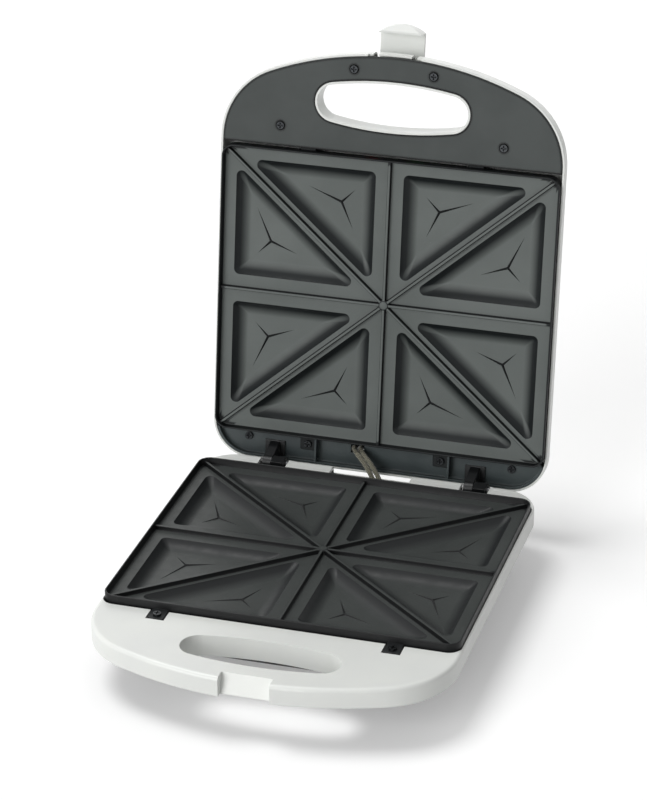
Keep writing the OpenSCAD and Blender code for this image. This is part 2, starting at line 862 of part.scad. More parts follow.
dome_side = 13.6;
dome_x = half_w - dome_side;
dome_front = plate_front + 3;
dome_rear = -12;
dome_r = 30;
dome_round = 12;

module lid_shell() {
    color([0.9, 0.91, 0.9]) upper() difference() {
        union() {
            difference() {
                union() {
                    body_plan() edge(rim_z, skin_z, 0, lid_round);
                    box_plan(dome_x, dome_front, dome_rear, dome_r)
                        edge(skin_z - lid_round, dome_z, 0, dome_round);
                }
                lid_cavity();
            }
            slot(lid_cover_z - 0.4, skin_z - 1, slot_lip);
            for (p = lid_boss)
                peg(p[0], plate_front - p[1], lid_cover_z + lid_cover_t, skin_z - 1, boss_r);
            for (p = frame_spots)
                peg(p[0], p[1], frame_floor + frame_t, skin_z - shell_wall / 2, 3.2);
            for (sx = [-1, 1])
                peg(sx * lid_tab_x, plate_front - tab_v, lid_tab_z + tab_t,
                    skin_z - shell_wall / 2, boss_r);
            // lugs that hold the latch pin
            intersection() {
                body_plan(shell_wall / 2) edge(rim_z, skin_z - 0.5, 0, lid_round - 0.5);
                for (sx = [-1, 1])
                    slab(sx * (pin_reach - pin_lug / 2) - pin_lug / 2,
                        sx * (pin_reach - pin_lug / 2) + pin_lug / 2,
                        latch_y - 4, latch_y + 3, lid_cover_z + lid_cover_t, skin_z);
            }
        }
        slot(rim_z - 2, skin_z + 1);
        for (p = lid_boss)
            peg(p[0], plate_front - p[1], lid_cover_z, skin_z - shell_wall, boss_bore);
        for (p = frame_spots)
            peg(p[0], p[1], frame_floor, skin_z - shell_wall, boss_bore);
        for (sx = [-1, 1])
            peg(sx * lid_tab_x, plate_front - tab_v, lid_tab_z, skin_z - shell_wall,
                boss_bore);
        tube_x(-pin_reach, pin_reach, latch_y, latch_z, latch_pin_r + 0.02);
        // slots for the latch arms
        for (sx = [-1, 1])
            slab(sx * arm_x - arm_w / 2 - 0.5, sx * arm_x + arm_w / 2 + 0.5,
                plate_front - nose_v - 5, latch_y + 3.4, rim_z - 1, skin_z + 5);
        // recess in the front rim behind the latch
        slab(-latch_w / 2 - 3.3, latch_w / 2 + 3.3, plate_front - nose_v - 5,
            plate_front - nose_v + shell_wall + 2, rim_z - 1, rim_z + 1.8);
        // lamp windows in the top of the handle
        for (x = lamp_x) peg(x, lamp_y, skin_z - 8, skin_z + 4, lamp_r + 0.05);
        // rear gaps for the hinge lugs
        slab(left_knuckle[0] - 1, left_lug[1] + 1, -4, rear_edge + 2, rim_z - 1,
            rim_z + 4);
        slab(right_knuckle[0] - 1, right_lug[1] + 1, -4, rear_edge + 2, rim_z - 1,
            rim_z + 4);
    }
}

lamp_x = [-16, 16];
lamp_y = plate_front - 8;
lamp_r = 4;

module lid_handle_cover() {
    color([0.27, 0.28, 0.29]) upper() difference() {
        intersection() {
            body_plan(cover_inset)
                edge(lid_cover_z, lid_cover_z + lid_cover_t, 0.5);
            slab(-tall, tall, plate_front - tall, plate_front - cover_gap, 0, tall);
        }
        slot(lid_cover_z - 1, lid_cover_z + lid_cover_t + 1, slot_lip + fit_gap);
        for (p = lid_boss)
            peg(p[0], plate_front - p[1], lid_cover_z - 1, lid_cover_z + 5, screw_hole);
        for (p = lid_boss)
            peg(p[0], plate_front - p[1], lid_cover_z - 1, lid_cover_z + head_sunk,
                head_r + 0.5);
    }
}

module lid_cover_screws() {
    color([0.2, 0.2, 0.2]) upper()
        for (p = lid_boss)
            screw(p[0], plate_front - p[1], lid_cover_z + head_sunk - head_t,
                skin_z - 5);
}

// Knuckle arm reaching from the floor of the rear frame down to the hinge axis
module hinge_arm(x) {
    flange = 4;
    flange_t = 1.5;
    color([0.1, 0.1, 0.11]) upper() difference() {
        union() {
            tube_x(x[0], x[1], 0, -hinge_drop, knuckle_r);
            rotate([90, 0, 90]) translate([0, 0, x[0]]) linear_extrude(x[1] - x[0])
                polygon([
                    [knuckle_r - 0.2, -hinge_drop], [-knuckle_r + 0.2, -hinge_drop],
                    [-arm_root, frame_floor], [frame_inner, frame_floor], [frame_inner, 1],
                    [knuckle_r - 0.6, -hinge_drop + 2]
                ]);
            slab(x[0] - flange, x[1] + flange, -arm_root, frame_inner,
                frame_floor - flange_t, frame_floor);
        }
        tube_x(x[0] - 1, x[1] + 1, 0, -hinge_drop, pin_r + pin_fit);
    }
}

module hinge_arm_left() {
    hinge_arm(left_knuckle);
}

module hinge_arm_right() {
    hinge_arm(right_knuckle);
}

module lid_rear_frame() {
    color([0.17, 0.2, 0.23]) upper() difference() {
        union() {
            difference() {
                intersection() {
                    body_plan(shell_wall + fit_gap) edge(rim_z + 0.3, frame_floor + frame_t);
                    slab(-tall, tall, -plate_back + plate_gap, tall, 0, tall);
                }
                intersection() {
                    body_plan(shell_wall + fit_gap + frame_wall) edge(0, frame_floor);
                    slab(-tall, tall, -plate_back + plate_gap - 1, tall, 0, tall);
                }
            }
            // webs beside the fixing tabs
            for (x = rear_tab_x)
                slab(x + tab_r + fit_gap, x + tab_r + fit_gap + web_t, -plate_back + plate_gap,
                    frame_inner - 1, rim_z - 2, frame_floor + 0.5);
        }
        for (p = frame_spots) peg(p[0], p[1], rim_z, frame_floor + 4, screw_hole);
        // window that lets the leads through
        slab(lead_at - lead_r - lead_room, lead_at + lead_gap + lead_r + lead_room,
            window_y[0], window_y[1], frame_floor - 1, frame_floor + 2 * frame_t);
    }
}

plate_gap = 0.4;
web_t = 1.5;
arm_root = 12;
window_y = [-16, -9.6];
spot_x = half_w - 26.6;
frame_spots = [for (x = concat(rear_tab_x, [-spot_x, spot_x])) [x, rear_tab_y]];

module rear_frame_screws() {
    color([0.15, 0.15, 0.16]) upper()
        for (p = frame_spots)
            screw(p[0], p[1], (abs(p[0]) < spot_x - 1 ? rear_tab_z : frame_floor) - head_t,
                skin_z - 3);
}

module upper_plate() {
    color([0.3, 0.31, 0.32]) upper() plate_half(upper_tabs, []);
}

module upper_plate_screws() {
    color([0.5, 0.5, 0.5]) upper()
        for (sx = [-1, 1])
            screw(sx * lid_tab_x, plate_front - tab_v, lid_tab_z - head_t, skin_z - 4);
}

module upper_heater() {
    color([0.5, 0.5, 0.48]) upper() heater_half();
}

module upper_heater_clips() {
    color([0.7, 0.7, 0.68]) upper() clips_half();
}

module upper_reflector() {
    color([0.75, 0.76, 0.77]) upper() reflector_half();
}

module power_lamp_lens() {
    color([0.75, 0.1, 0.08]) upper() lens(lamp_x[0]);
}

module ready_lamp_lens() {
    color([0.1, 0.6, 0.2]) upper() lens(lamp_x[1]);
}

module lens(x) {
    translate([x, lamp_y, 0]) rotate_extrude($fn = mid_fn)
        polygon([
            [0, skin_z - shell_wall - 1.5], [lamp_r + 1, skin_z - shell_wall - 1.5],
            [lamp_r + 1, skin_z - shell_wall], [lamp_r, skin_z - shell_wall],
            [lamp_r, skin_z + 0.3], [lamp_r - 0.5, skin_z + 0.6], [0, skin_z + 0.8]
        ]);
}

module indicator_lamps() {
    color([0.9, 0.85, 0.7]) upper()
        for (x = lamp_x) translate([x, lamp_y, 0]) {
            cylinder_z(lid_cover_z + lid_cover_t, skin_z - shell_wall - 1.5, 2.5);
        }
}

module latch_pin() {
    color([0.7, 0.7, 0.72]) upper()
        tube_x(-pin_reach, pin_reach, latch_y, latch_z, latch_pin_r);
}

// ---- Latch ----

// Draws in latch axes: x across, y = -u along the leg, z = w out to the leg
module latch() {
    hw = latch_w / 2;
    color([0.92, 0.93, 0.92]) upper() translate([0, latch_y, latch_z]) difference() {
        union() {
            for (sx = [-1, 1]) {
                tube_x(sx * arm_x - arm_w / 2, sx * arm_x + arm_w / 2, 0, 0, 3);
                slab(sx * arm_x - arm_w / 2, sx * arm_x + arm_w / 2,
                    -arm_half, arm_half, 0, leg_in + 0.5);
            }
            slab(-hw, hw, -ledge_u, 2.6, leg_in, leg_out);
            // sloping bowed cap with the hook ledge
            intersection() {
                translate([0, tip_arc - ledge_u - tip_rise, 0])
                    cylinder(h = leg_out, r = tip_arc, $fn = arc_fn);
                slab(-hw, hw, -ledge_u - 2 * tip_rise, -ledge_u, hook_in, leg_out);
                rotate([90, 0, 90]) translate([0, 0, -hw]) linear_extrude(latch_w)
                    polygon([
                        [-ledge_u + 1, hook_in - 1], [-tip_low, hook_in],
                        [-ledge_u - tip_rise - 1, leg_out - 2],
                        [-ledge_u - tip_rise - 1, leg_out + 1], [-ledge_u + 1, leg_out + 1]
                    ]);
            }
        }
        tube_x(-tall, tall, 0, 0, latch_pin_r + pin_fit);
    }
}

// ---- Heater leads ----

function lead_spine(dx) = [
    [lead_at + dx, hinge_y + 23, hinge_z + 11],
    [lead_at + dx + 0.5, hinge_y + 17, hinge_z + 11.5],
    [lead_at + dx + 5, hinge_y + 11, hinge_z + 10],
    [lead_at + dx + 12, hinge_y + 5, hinge_z + 6],
    [lead_at + dx + 20, hinge_y - 3, hinge_z - 0.5],
    [lead_at + dx + 24, hinge_y - 11, hinge_z - 5.5],
    [lead_at + dx + 25, hinge_y - 17, hinge_z - 9]
];

function ring(c, d, r) = let(
        t = unit(d),
        s = unit(cross(t, [0, 0.2, 1])),
        u = cross(t, s))
    [for (i = [0:lead_sides - 1])
        c + r * (s * cos(i * 360 / lead_sides) + u * sin(i * 360 / lead_sides))];

module lead(dx) {
    pts = lead_spine(dx);
    n = len(pts);
    rings = [for (i = [0:n - 1])
        ring(pts[i], pts[min(i + 1, n - 1)] - pts[max(i - 1, 0)], lead_r)];
    m = lead_sides;
    polyhedron(
        points = [for (r = rings) for (p = r) p],
        faces = concat(
            [[for (i = [0:m - 1]) i]],
            [for (k = [0:n - 2]) for (i = [0:m - 1]) for (f = [
                [k * m + i, (k + 1) * m + i, (k + 1) * m + (i + 1) % m],
                [k * m + i, (k + 1) * m + (i + 1) % m, k * m + (i + 1) % m]
            ]) f],
            [[for (i = [m - 1:-1:0]) (n - 1) * m + i]]
        )
    );
}

module heater_lead_left() {
    color([0.55, 0.53, 0.45]) lead(0);
}

module heater_lead_right() {
    color([0.55, 0.53, 0.45]) lead(lead_gap);
}

base_frame();
base_pan();
rubber_feet();
pan_screws();
lower_plate();
lower_plate_screws();
lower_heater();
lower_heater_clips();
lower_reflector();
hinge_lug_left();
hinge_lug_right();
lug_screws();
hinge_pin_left();
hinge_pin_right();
cord_inlet();
cord_clamp();
terminal_block();
lower_thermostat();
lid_shell();
lid_handle_cover();
lid_cover_screws();
lid_rear_frame();
hinge_arm_left();
hinge_arm_right();
rear_frame_screws();
upper_plate();
upper_plate_screws();
upper_heater();
upper_heater_clips();
upper_reflector();
power_lamp_lens();
ready_lamp_lens();
indicator_lamps();
latch_pin();
latch();
heater_lead_left();
heater_lead_right();
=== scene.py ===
"""Sandwich toaster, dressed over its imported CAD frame: plates, leads, materials, light and camera."""

import json
import math

import bmesh
import bpy
import numpy as np
from mathutils import Matrix, Vector


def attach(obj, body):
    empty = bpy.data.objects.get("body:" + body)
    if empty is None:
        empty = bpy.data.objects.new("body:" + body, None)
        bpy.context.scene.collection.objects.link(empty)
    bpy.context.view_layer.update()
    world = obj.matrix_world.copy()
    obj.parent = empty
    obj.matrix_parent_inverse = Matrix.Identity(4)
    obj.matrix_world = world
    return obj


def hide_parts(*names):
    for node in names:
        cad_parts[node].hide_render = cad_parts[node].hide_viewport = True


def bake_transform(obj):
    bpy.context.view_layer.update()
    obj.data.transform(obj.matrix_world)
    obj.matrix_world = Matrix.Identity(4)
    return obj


MM = 0.001

# ---- The half frame: x across, y = 0 on the hinge axis, z = 0 at the lips, +z outward (mm) ----
LIP_HEIGHT = 50.0
HINGE_DROP = 8.5
OPEN_ANGLE = math.radians(97.64)
PLATE_W, PLATE_D, PLATE_BACK = 249.6, 216.0, 19.0
PLATE_FRONT = -(PLATE_BACK + PLATE_D)
MID_Y = PLATE_FRONT + PLATE_D / 2

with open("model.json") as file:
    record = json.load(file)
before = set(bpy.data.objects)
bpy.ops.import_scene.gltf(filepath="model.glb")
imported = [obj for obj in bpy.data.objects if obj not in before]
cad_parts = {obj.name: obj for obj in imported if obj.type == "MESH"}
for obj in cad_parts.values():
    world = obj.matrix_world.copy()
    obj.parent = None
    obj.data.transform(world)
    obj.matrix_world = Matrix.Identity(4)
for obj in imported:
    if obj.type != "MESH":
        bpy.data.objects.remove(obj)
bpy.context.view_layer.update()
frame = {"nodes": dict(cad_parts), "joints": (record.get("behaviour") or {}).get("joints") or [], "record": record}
nodes = frame["nodes"]
hinge = next(j for j in frame["joints"] if j["name"] == "lid_hinge")["pos_m"]

# Places of the two half frames; the lower one is turned over
LOWER = Matrix.Translation((0, hinge[1], LIP_HEIGHT * MM)) @ Matrix.Diagonal((1, 1, -1, 1))
UPPER = (
    Matrix.Translation(hinge)
    @ Matrix.Rotation(-OPEN_ANGLE, 4, "X")
    @ Matrix.Translation((0, 0, HINGE_DROP * MM))
)

# ---- Mesh helpers ----
WELD, SLIVER = 0.01 * MM, 0.001 * MM


def smooth(mesh, degrees):
    """Shade smooth, but keep the edges that turn by more than so many degrees."""
    mesh.polygons.foreach_set("use_smooth", [True] * len(mesh.polygons))
    mesh.set_sharp_from_angle(angle=math.radians(degrees))


def add_object(name, verts, faces, place, smooth_deg=35):
    """Make a mesh object from millimetre points, moved by place and smooth below smooth_deg."""
    mesh = bpy.data.meshes.new(name)
    mesh.from_pydata([tuple(c * MM for c in v) for v in verts], [], faces)
    bm = bmesh.new()
    bm.from_mesh(mesh)
    bmesh.ops.remove_doubles(bm, verts=bm.verts, dist=WELD)
    bmesh.ops.dissolve_degenerate(bm, edges=bm.edges, dist=SLIVER)
    bmesh.ops.transform(bm, matrix=place, verts=bm.verts)
    bmesh.ops.recalc_face_normals(bm, faces=bm.faces)
    bm.to_mesh(mesh)
    bm.free()
    smooth(mesh, smooth_deg)
    obj = bpy.data.objects.new(name, mesh)
    bpy.context.scene.collection.objects.link(obj)
    return obj


def loft(loops, closed=True):
    """Quads between equal loops; closed joins the last loop back to the first."""
    n = len(loops[0])
    verts = [p for loop in loops for p in loop]
    faces = []
    count = len(loops)
    for r in range(count if closed else count - 1):
        a, b = r * n, ((r + 1) % count) * n
        for i in range(n):
            j = (i + 1) % n
            faces.append((a + i, a + j, b + j, b + i))
    return verts, faces


def fan(loop_start, count, tip):
    """Triangles from a loop of vertices to one tip vertex."""
    return [(loop_start + i, loop_start + (i + 1) % count, tip) for i in range(count)]


def merge(parts):
    """One vertex list and one face list out of several."""
    verts, faces = [], []
    for v, f in parts:
        base = len(verts)
        verts += v
        faces += [tuple(i + base for i in face) for face in f]
    return verts, faces


# ---- Plate sheet: each quarter holds two triangular cells, each with one pocket (mm) ----
# Raised lip: width, level of its top, radius in plan, level of its lower edge
LIP_W, LIP_TOP, LIP_R, LIP_BOTTOM = 1.3, 0.2, 9.0, 9.4
# Eased edge of the lip: distance in from its side, drop below its top
LIP_EASE = ((0.0, 0.6), (0.12, 0.2), (0.4, 0.0))
# Soft foot of the lip: distance past its inner side, level against the land
LIP_FOOT = ((0.1, -0.3), (0.25, -0.05), (0.6, -0.01), (1.0, 0.05))
# Sheet: how far in it ends, under the lip, and its thickness
SHEET_IN, SHEET_T = 1.0, 2.3
# Levels of the flat land and of the rib tops
LAND, RIB_TOP = 5.4, 2.4
# Pocket: depth below the land, run of its wall, radius of its rim's corners
POCKET_DEPTH, POCKET_RUN, POCKET_R = 5.1, 10.8, 4.0
POCKET_FLOOR = LAND + POCKET_DEPTH
# Distance of a pocket's rim from each kind of cell side
POCKET_IN = {"outer": 10.4, "centre": 10.4, "diagonal": 4.6}
# Points along a side and round a corner of a ring
SIDE_STEPS, ARC_STEPS = 26, 8

# Rib: distance from its middle line and drop below its top, over the shoulder to the land
RIB_PROFILE = (
    (0.0, 0.0),
    (0.65, 0.0),
    (0.9, 0.02),
    (0.98, 0.12),
    (1.02, 0.5),
    (1.08, 2.7),
    (1.2, 2.95),
    (1.5, 3.0),
    (1.8, 3.0),
    (2.2, 3.0),
)
# Each ring of the rib draws in under the lip and rounds its corners by this much more
RIB_DRAW, RIB_ROUND = 0.05, 0.02
# Land between rib and pocket: share of the way across and corner radius; where it starts and ends
LAND_RINGS = ((0.3, 1.2), (0.65, 2.6), (0.92, 3.6))
LAND_START, LAND_STOP = 1.6, 0.5
# Pocket wall: distances inside its rim; the corner radius shrinks at this rate to LEAST_R
WALL_STEPS = (-0.5, -0.2, 0.0, 0.2, 0.45, 0.8, 1.3, 2.0, 2.8, 3.8, 5.0, 6.2, 7.4, 8.6, 9.7, 10.8)
WALL_ROUND_LOSS, LEAST_R = 0.42, 1.0
# Pocket floor: size against the rim, and rings as shares of the way to its middle
FLOOR_SIZE, FLOOR_RINGS = 0.53, (0.0, 0.35, 0.7, 0.92)

# Star on the floor: height, half width in the middle, height of its edge, depth of its root
STAR_HEIGHT, STAR_HALF, STAR_EDGE, STAR_ROOT = 0.95, 1.0, 0.01, 0.6
# Length of its arms towards the corner between each two sides
STAR_ARMS = {
    frozenset(("outer", "centre")): 14.0,
    frozenset(("centre", "diagonal")): 21.5,
    frozenset(("diagonal", "outer")): 27.0,
}


def keep_inside(x, y):
    """Pull a point of the plate sheet back under the rounded lip."""
    reach_x, reach_y = PLATE_W / 2 - SHEET_IN, PLATE_D / 2 - SHEET_IN
    radius = LIP_R - SHEET_IN
    px, py = min(abs(x), reach_x), min(abs(y - MID_Y), reach_y)
    cx, cy = px - (reach_x - radius), py - (reach_y - radius)
    length = math.hypot(cx, cy)
    if cx > 0 and cy > 0 and length > radius:
        px = reach_x - radius + cx * radius / length
        py = reach_y - radius + cy * radius / length
    return math.copysign(px, x), MID_Y + math.copysign(py, y - MID_Y)


def unit(vector):
    """The vector at length 1."""
    return vector / np.linalg.norm(vector)


def inset_corner(a, b, c, da, db):
    """Meeting point of sides a-b and b-c moved inward by da and db (counter-clockwise)."""
    p, q = unit(b - a), unit(c - b)
    n = np.array([-p[1], p[0]])
    m = np.array([-q[1], q[0]])
    return np.linalg.solve(np.array([n, m]), np.array([n @ b + da, m @ b + db]))


def inset_triangle(tri, insets):
    """Corners of a triangle whose side i runs from corner i to corner i + 1."""
    return [
        inset_corner(tri[i - 1], tri[i], tri[(i + 1) % 3], insets[i - 1], insets[i])
        for i in range(3)
    ]


def corner_arc(before, corner, after, radius):
    """Points round one corner, rounded with a radius."""
    p, q = unit(before - corner), unit(after - corner)
    half = math.acos(max(-1.0, min(1.0, p @ q))) / 2
    centre = corner + unit(p + q) * radius / math.sin(half)
    arm = corner + p * radius / math.tan(half) - centre
    arc = []
    for k in range(ARC_STEPS + 1):
        turn = (math.pi - 2 * half) * k / ARC_STEPS
        c, s = math.cos(turn), math.sin(turn)
        arc.append(centre + np.array([c * arm[0] - s * arm[1], s * arm[0] + c * arm[1]]))
    return arc


def rounded_ring(corners, radius):
    """Points round a triangle with rounded corners, always as many, and where each one lies."""
    arcs = [
        corner_arc(corners[i - 1], corners[i], corners[(i + 1) % 3], radius) for i in range(3)
    ]
    points, places = [], []
    for i in range(3):
        for k, point in enumerate(arcs[i]):
            points.append(point)
            places.append(("corner", i, k))
        here, there = arcs[i][-1], arcs[(i + 1) % 3][0]
        for k in range(1, SIDE_STEPS):
            points.append(here + (there - here) * k / SIDE_STEPS)
            places.append(("side", i, k))
    return points, places


def cell_ring(tri, sides, insets, radius, z_outer, z_rib):
    """Ring inside a cell, at one level along its outer side and at another along its ribs."""
    level = {"outer": z_outer, "centre": z_rib, "diagonal": z_rib}
    corners = inset_triangle(tri, [insets[side] for side in sides])
    ring = []
    for (x, y), (kind, i, k) in zip(*rounded_ring(corners, radius)):
        z = level[sides[i]]
        if kind == "corner":
            before = level[sides[i - 1]]
            z = before + (z - before) * k / ARC_STEPS
        ring.append((*keep_inside(x, y), z))
    return ring


def pocket_level(t):
    """Level at distance t inside the pocket's rim: hollow wall, then floor."""
    arc = (POCKET_RUN**2 + POCKET_DEPTH**2) / (2 * POCKET_DEPTH)
    left = POCKET_RUN - min(t, POCKET_RUN)
    return LAND + POCKET_DEPTH - arc + math.sqrt(max(0.0, arc * arc - left**2))


def pocket_outline(tri, sides):
    """Sharp corners of a pocket's rim, and the middle of the circle that fits in it."""
    rim = inset_triangle(tri, [POCKET_IN[side] for side in sides])
    opposite = [np.linalg.norm(rim[(i + 2) % 3] - rim[(i + 1) % 3]) for i in range(3)]
    middle = sum(corner * weight for corner, weight in zip(rim, opposite)) / sum(opposite)
    return rim, middle


def cell_face(tri, sides):
    """Surface of one triangular cell, from its border ribs to the middle of its pocket.

    sides names each side of tri: outer (under the lip), centre or diagonal."""
    rings = []
    for i, (off, drop) in enumerate(RIB_PROFILE):
        outer = SHEET_IN + RIB_DRAW * i if i else 0.0
        insets = {"outer": outer, "centre": off, "diagonal": off}
        rings.append(cell_ring(tri, sides, insets, RIB_ROUND * i, LAND, RIB_TOP + drop))
    rib_foot = RIB_PROFILE[-1][0]
    starts = {"outer": LAND_START, "centre": rib_foot, "diagonal": rib_foot}
    for share, radius in LAND_RINGS:
        insets = {
            side: start + (POCKET_IN[side] - LAND_STOP - start) * share
            for side, start in starts.items()
        }
        rings.append(cell_ring(tri, sides, insets, radius, LAND, LAND))
    for t in WALL_STEPS:
        inside = max(t, 0.0)
        z = pocket_level(inside)
        radius = max(POCKET_R - WALL_ROUND_LOSS * inside, LEAST_R)
        insets = {side: rim_in + t for side, rim_in in POCKET_IN.items()}
        rings.append(cell_ring(tri, sides, insets, radius, z, z))
    rim, middle = pocket_outline(tri, sides)
    floor_corners = [middle + (corner - middle) * FLOOR_SIZE for corner in rim]
    floor_edge, _ = rounded_ring(floor_corners, LEAST_R)
    for share in FLOOR_RINGS:
        ring = [point + (middle - point) * share for point in floor_edge]
        rings.append([(x, y, POCKET_FLOOR) for x, y in ring])
    verts, faces = loft(rings, closed=False)
    count = len(rings[0])
    faces += fan(len(verts) - count, count, len(verts))
    return verts + [(*middle, POCKET_FLOOR)], faces


def floor_star(tri, sides):
    """Three tapering ridges that meet in the middle of a pocket floor, as one closed solid."""
    rim, middle = pocket_outline(tri, sides)
    outward = [unit(corner - middle) for corner in rim]
    outline = []
    for i in range(3):
        length = STAR_ARMS[frozenset((sides[i - 1], sides[i]))]
        between = unit(outward[i] + outward[(i + 1) % 3])
        outline += [middle + outward[i] * length, middle + between * STAR_HALF]
    count = len(outline)
    levels = (POCKET_FLOOR - STAR_EDGE, POCKET_FLOOR + STAR_ROOT)
    verts, faces = loft([[(x, y, z) for x, y in outline] for z in levels], closed=False)
    faces += fan(0, count, len(verts))
    faces.append(tuple(range(count, 2 * count)))
    return verts + [(*middle, POCKET_FLOOR - STAR_HEIGHT)], faces


def quarter_cells():
    """The two cells of the front left quarter, counter-clockwise, with each side's kind."""
    left, front = -PLATE_W / 2, PLATE_FRONT
    near_corner, middle = np.array([left, front]), np.array([0.0, MID_Y])
    front_middle, left_middle = np.array([0.0, front]), np.array([left, MID_Y])
    return [
        ([near_corner, front_middle, middle], ["outer", "centre", "diagonal"]),
        ([near_corner, middle, left_middle], ["diagonal", "centre", "outer"]),
    ]


def in_all_quarters(make):
    """What make builds in the two cells of one quarter, mirrored into all four."""
    copies = []
    for cell in quarter_cells():
        verts, faces = make(*cell)
        for mx in (1, -1):
            for my in (1, -1):
                moved = [(x * mx, MID_Y + (y - MID_Y) * my, z) for x, y, z in verts]
                copies.append((moved, [f if mx * my > 0 else f[::-1] for f in faces]))
    return copies


# Cells of the sheet meet within this distance along the ribs
SHEET_WELD, SHEET_SLIVER = 0.025, 0.001


def pocketed_sheet():
    """Ribs, land and pockets as one sheet of even thickness, closed round its edge."""
    mesh = bpy.data.meshes.new("plate_face")
    verts, faces = merge(in_all_quarters(cell_face))
    mesh.from_pydata(verts, [], faces)
    bm = bmesh.new()
    bm.from_mesh(mesh)
    bmesh.ops.remove_doubles(bm, verts=bm.verts, dist=SHEET_WELD)
    bmesh.ops.dissolve_degenerate(bm, edges=bm.edges, dist=SHEET_SLIVER)
    back = bmesh.ops.duplicate(bm, geom=bm.verts[:] + bm.edges[:] + bm.faces[:])["geom"]
    for item in back:
        if isinstance(item, bmesh.types.BMVert):
            item.co.z += SHEET_T
    bmesh.ops.reverse_faces(bm, faces=[g for g in back if isinstance(g, bmesh.types.BMFace)])
    bmesh.ops.bridge_loops(bm, edges=[e for e in bm.edges if e.is_boundary])
    bm.verts.ensure_lookup_table()
    verts = [tuple(v.co) for v in bm.verts]
    faces = [tuple(v.index for v in f.verts) for f in bm.faces]
    bm.free()
    bpy.data.meshes.remove(mesh)
    return verts, faces


# ---- Lip, boss and fixing tabs of a plate (mm) ----
QUARTER_STEPS, BOSS_STEPS = 10, 28
# Round boss in the middle of the plate: radius and level, from its crown down
BOSS_PROFILE = ((0, 2.15), (2.6, 2.15), (3.5, 2.3), (3.95, 2.8), (4.1, 5.0), (4.4, 5.6), (0, 5.6))
# Fixing tab: half width, thickness, reach past its screw, clipped corner, eased edge
TAB_HALF, TAB_T, TAB_END, TAB_CLIP, TAB_EASE = 5.8, 2.5, 5.0, 0.9, 0.35
# How far a tab is rooted in the plate, and how far in front of the plate a front screw stands
TAB_ROOT, TAB_V = 1.0, 8.0
# Front tabs: distance from the middle and level of the face; rear tabs: places
LOWER_TAB_X, LOWER_TAB_Z = 82.0, 5.2
UPPER_TAB_X, UPPER_TAB_Z = 62.0, 7.5
REAR_TAB_X, REAR_TAB_Y, REAR_TAB_Z = (-54.0, 47.0), -13.0, 6.5


def rounded_rectangle(hx, y0, y1, r, z):
    """Loop of points round a rectangle with rounded corners."""
    points = []
    for cx, cy, start in (
        (hx - r, y1 - r, 0),
        (r - hx, y1 - r, 90),
        (r - hx, y0 + r, 180),
        (hx - r, y0 + r, 270),
    ):
        for k in range(QUARTER_STEPS + 1):
            angle = math.radians(start + 90 * k / QUARTER_STEPS)
            points.append((cx + r * math.cos(angle), cy + r * math.sin(angle), z))
    return points


def lip_ring():
    """The raised lip round the plate as one closed ring."""
    profile = [(0.0, LIP_BOTTOM)]
    profile += [(d, LIP_TOP + drop) for d, drop in LIP_EASE]
    profile += [(LIP_W - d, LIP_TOP + drop) for d, drop in reversed(LIP_EASE)]
    profile += [(LIP_W + d, LAND + level) for d, level in LIP_FOOT]
    profile.append((LIP_W + LIP_FOOT[-1][0], LIP_BOTTOM))
    loops = [
        rounded_rectangle(PLATE_W / 2 - d, PLATE_FRONT + d, -PLATE_BACK - d, LIP_R - d, z)
        for d, z in profile
    ]
    return loft(loops)


def boss():
    """Boss turned round the middle of the plate, between two points on its axis."""
    loops = [
        [
            (r * math.cos(turn), MID_Y + r * math.sin(turn), z)
            for turn in (2 * math.pi * k / BOSS_STEPS for k in range(BOSS_STEPS))
        ]
        for r, z in BOSS_PROFILE[1:-1]
    ]
    verts, faces = loft(loops, closed=False)
    crown, foot = len(verts), len(verts) + 1
    faces += [face[::-1] for face in fan(0, BOSS_STEPS, crown)]
    faces += fan(crown - BOSS_STEPS, BOSS_STEPS, foot)
    return verts + [(0, MID_Y, BOSS_PROFILE[0][1]), (0, MID_Y, BOSS_PROFILE[-1][1])], faces


def tab(x, y, root_y, z):
    """Fixing tab from root_y past its screw at x, y: a tongue with clipped corners."""
    away = 1 if y > root_y else -1
    end = y + away * TAB_END
    outline = [
        (x - TAB_HALF, root_y),
        (x + TAB_HALF, root_y),
        (x + TAB_HALF, end - away * TAB_CLIP),
        (x + TAB_HALF - TAB_CLIP, end),
        (x - TAB_HALF + TAB_CLIP, end),
        (x - TAB_HALF, end - away * TAB_CLIP),
    ]
    mid = (end + root_y) / 2
    loops = []
    for inset, level in ((0.0, z + TAB_T), (0.0, z + TAB_EASE), (TAB_EASE, z)):
        sx, sy = 1 - inset / TAB_HALF, 1 - inset / abs(end - mid)
        loops.append([(x + (px - x) * sx, mid + (py - mid) * sy, level) for px, py in outline])
    verts, faces = loft(loops, closed=False)
    count = len(outline)
    faces.append(tuple(range(count)))
    faces.append(tuple(reversed(range(len(verts) - count, len(verts)))))
    return verts, faces


def plate(tabs):
    """Whole pocketed plate in the half frame."""
    parts = [pocketed_sheet(), lip_ring(), boss()]
    parts += in_all_quarters(floor_star)
    parts += [tab(*place) for place in tabs]
    return merge(parts)


def front_tabs(across, z):
    """Places of the two tabs in front of a plate."""
    return [(s * across, PLATE_FRONT - TAB_V, PLATE_FRONT + TAB_ROOT, z) for s in (-1, 1)]


def mark_slopes(obj, normal):
    """Keep how steeply the plate stands at each point, for the painted shade on its coating."""
    mesh = obj.data
    steepest = [0.0] * len(mesh.vertices)
    for face in mesh.polygons:
        slope = face.normal.angle(normal) / math.radians(90)
        for i in face.vertices:
            steepest[i] = max(steepest[i], min(slope, 1.0))
    mesh.attributes.new("slope", "FLOAT", "POINT").data.foreach_set("value", steepest)


